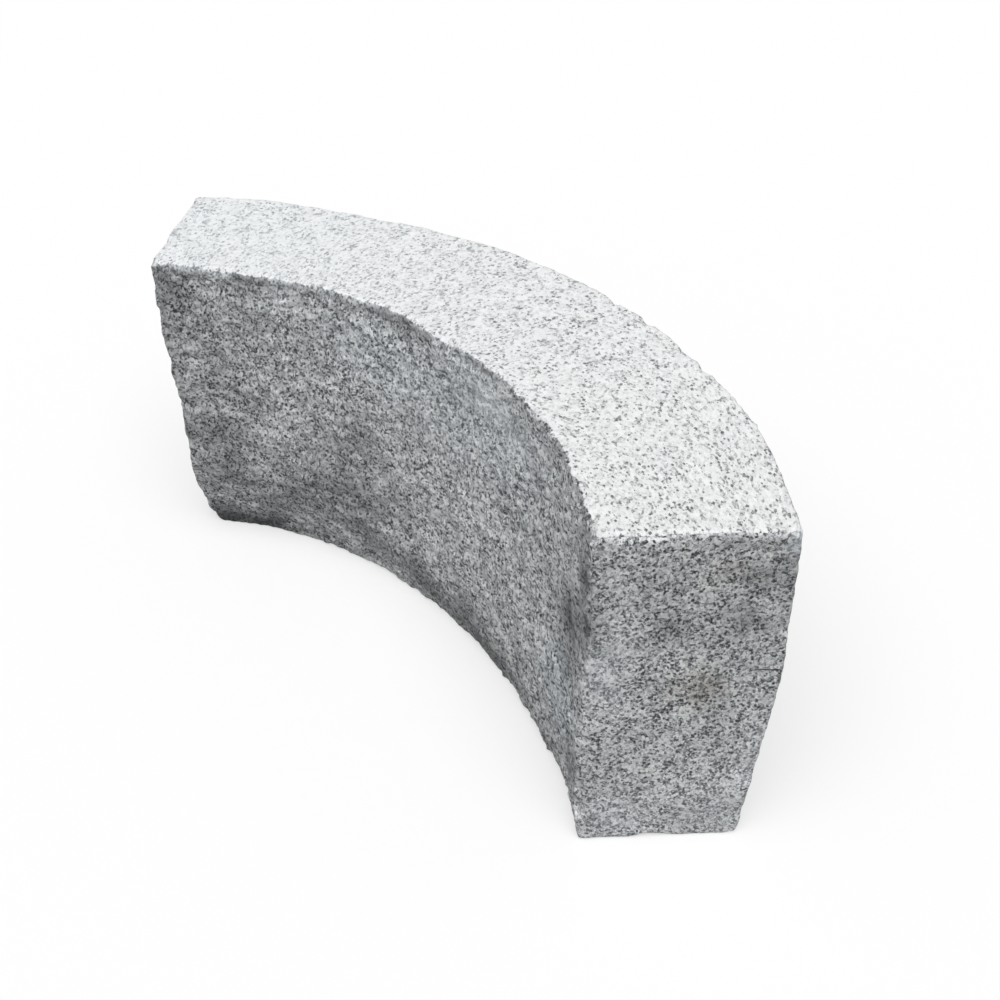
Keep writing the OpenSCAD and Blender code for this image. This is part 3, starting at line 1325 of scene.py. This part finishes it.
@dataclass(frozen=True)
class Studio:
    """A pale floor, a soft lamp above and even light all round; the floor is in metres, angles in degrees."""

    floor_size: float = 40.0
    floor_seen: str = "#fefefe"
    floor_bounce: str = "#888888"
    floor_white: float = 0.5
    lamp_strength: float = 2.38
    lamp_spread: float = 60.0
    lamp_from: tuple[float, float, float] = (0.32, -0.40, 1.0)
    sky_strength: float = 0.34

    def floor(self) -> bpy.types.Object:
        """Makes the floor: pale to the camera, greyer to the light that it throws back on the stone.

        Returns:
            The floor's object.
        """
        half = self.floor_size / 2
        corners = np.array([(-1, -1, 0), (1, -1, 0), (1, 1, 0), (-1, 1, 0)]) * half
        mesh = bpy.data.meshes.new("studio_floor")
        mesh.from_pydata(corners.tolist(), [], [(0, 1, 2, 3)])
        floor = bpy.data.objects.new("studio_floor", mesh)
        bpy.context.scene.collection.objects.link(floor)
        material = bpy.data.materials.new("matt_white_floor")
        material.use_nodes = True
        tree = material.node_tree
        seen = self.seen(tree)
        colours = {0: seen, 6: linear(self.floor_bounce), 7: linear(self.floor_seen)}
        colour = add_node(tree, "ShaderNodeMix", colours, data_type="RGBA").outputs[2]
        shader = tree.nodes["Principled BSDF"]
        tree.links.new(colour, shader.inputs["Base Color"])
        shader.inputs["Roughness"].default_value = 1.0
        shader.inputs["Specular IOR Level"].default_value = 0.0
        plain = {"Color": linear(self.floor_seen), "Strength": 1.0}
        white = add_node(tree, "ShaderNodeEmission", plain).outputs[0]
        part = {0: seen, 1: self.floor_white}
        share = add_node(tree, "ShaderNodeMath", part, operation="MULTIPLY").outputs[0]
        both = add_node(tree, "ShaderNodeMixShader", {0: share, 1: shader.outputs[0], 2: white}).outputs[0]
        tree.links.new(both, tree.nodes["Material Output"].inputs["Surface"])
        mesh.materials.append(material)
        return floor

    @staticmethod
    def seen(tree: Tree) -> Socket:
        """Tells what is looked at from the light that surfaces pass on.

        Args:
            tree: a material's or the world's nodes.

        Returns:
            One for camera, glossy and transmission rays, nought for others.
        """
        path = add_node(tree, "ShaderNodeLightPath")
        first = {0: path.outputs["Is Camera Ray"], 1: path.outputs["Is Glossy Ray"]}
        total = add_node(tree, "ShaderNodeMath", first, operation="MAXIMUM").outputs[0]
        second = {0: total, 1: path.outputs["Is Transmission Ray"]}
        return add_node(tree, "ShaderNodeMath", second, operation="MAXIMUM").outputs[0]

    def light(self) -> None:
        """Makes the lamp and the even light, with a white background for what the camera sees."""
        lamp = bpy.data.lights.new("soft_sky_panel", "SUN")
        lamp.angle = math.radians(self.lamp_spread)
        lamp.energy = self.lamp_strength
        panel = bpy.data.objects.new("soft_sky_panel", lamp)
        panel.rotation_euler = (-Vector(self.lamp_from)).to_track_quat("-Z", "Y").to_euler()
        bpy.context.scene.collection.objects.link(panel)

        world = bpy.data.worlds.new("even_light")
        bpy.context.scene.world = world
        world.use_nodes = True
        tree = world.node_tree
        background = tree.nodes["Background"]
        levels = {0: self.seen(tree), 2: self.sky_strength, 3: 1.0}
        strength = add_node(tree, "ShaderNodeMix", levels).outputs[0]
        tree.links.new(strength, background.inputs["Strength"])
        background.inputs["Color"].default_value = (1, 1, 1, 1)


@dataclass(frozen=True)
class Camera:
    """The viewpoint: its place in millimetres, where it heads and how far it dips, in degrees.

    lens_share is the focal length as a share of the sensor's width, and far_clip is in metres.
    """

    eye: tuple[float, float, float] = (788.4, -687.0, 882.0)
    heading: float = 47.0
    dip: float = 36.0
    lens_share: float = 1.439
    sensor: float = 36.0
    far_clip: float = 100.0

    def build(self) -> bpy.types.Object:
        """Makes the camera and sets it as the scene's.

        Returns:
            The camera's object.
        """
        data = bpy.data.cameras.new("viewpoint")
        data.sensor_width = self.sensor
        data.lens = self.sensor * self.lens_share
        data.clip_end = self.far_clip
        camera = bpy.data.objects.new("viewpoint", data)
        turn = Matrix.Rotation(math.radians(self.heading), 4, "Z")
        tilt = Matrix.Rotation(math.radians(90 - self.dip), 4, "X")
        camera.matrix_world = Matrix.Translation(Vector(self.eye) * MM) @ turn @ tilt
        bpy.context.scene.collection.objects.link(camera)
        bpy.context.scene.camera = camera
        return camera


def main() -> None:
    """Builds the camera, the stone and the studio in order."""
    logging.basicConfig(level=logging.INFO, format="%(name)s: %(message)s")
    bpy.context.scene.view_settings.view_transform = "Standard"
    Camera().build()
    kerb = KerbStone()
    stone = kerb.build()
    kerb.dress(stone, Granite())
    LOG.info("%s: %d points, %d faces", stone.name, len(stone.data.vertices), len(stone.data.polygons))
    studio = Studio()
    LOG.info("%s: stage", studio.floor().name)
    studio.light()


if __name__ == "__main__":
    main()
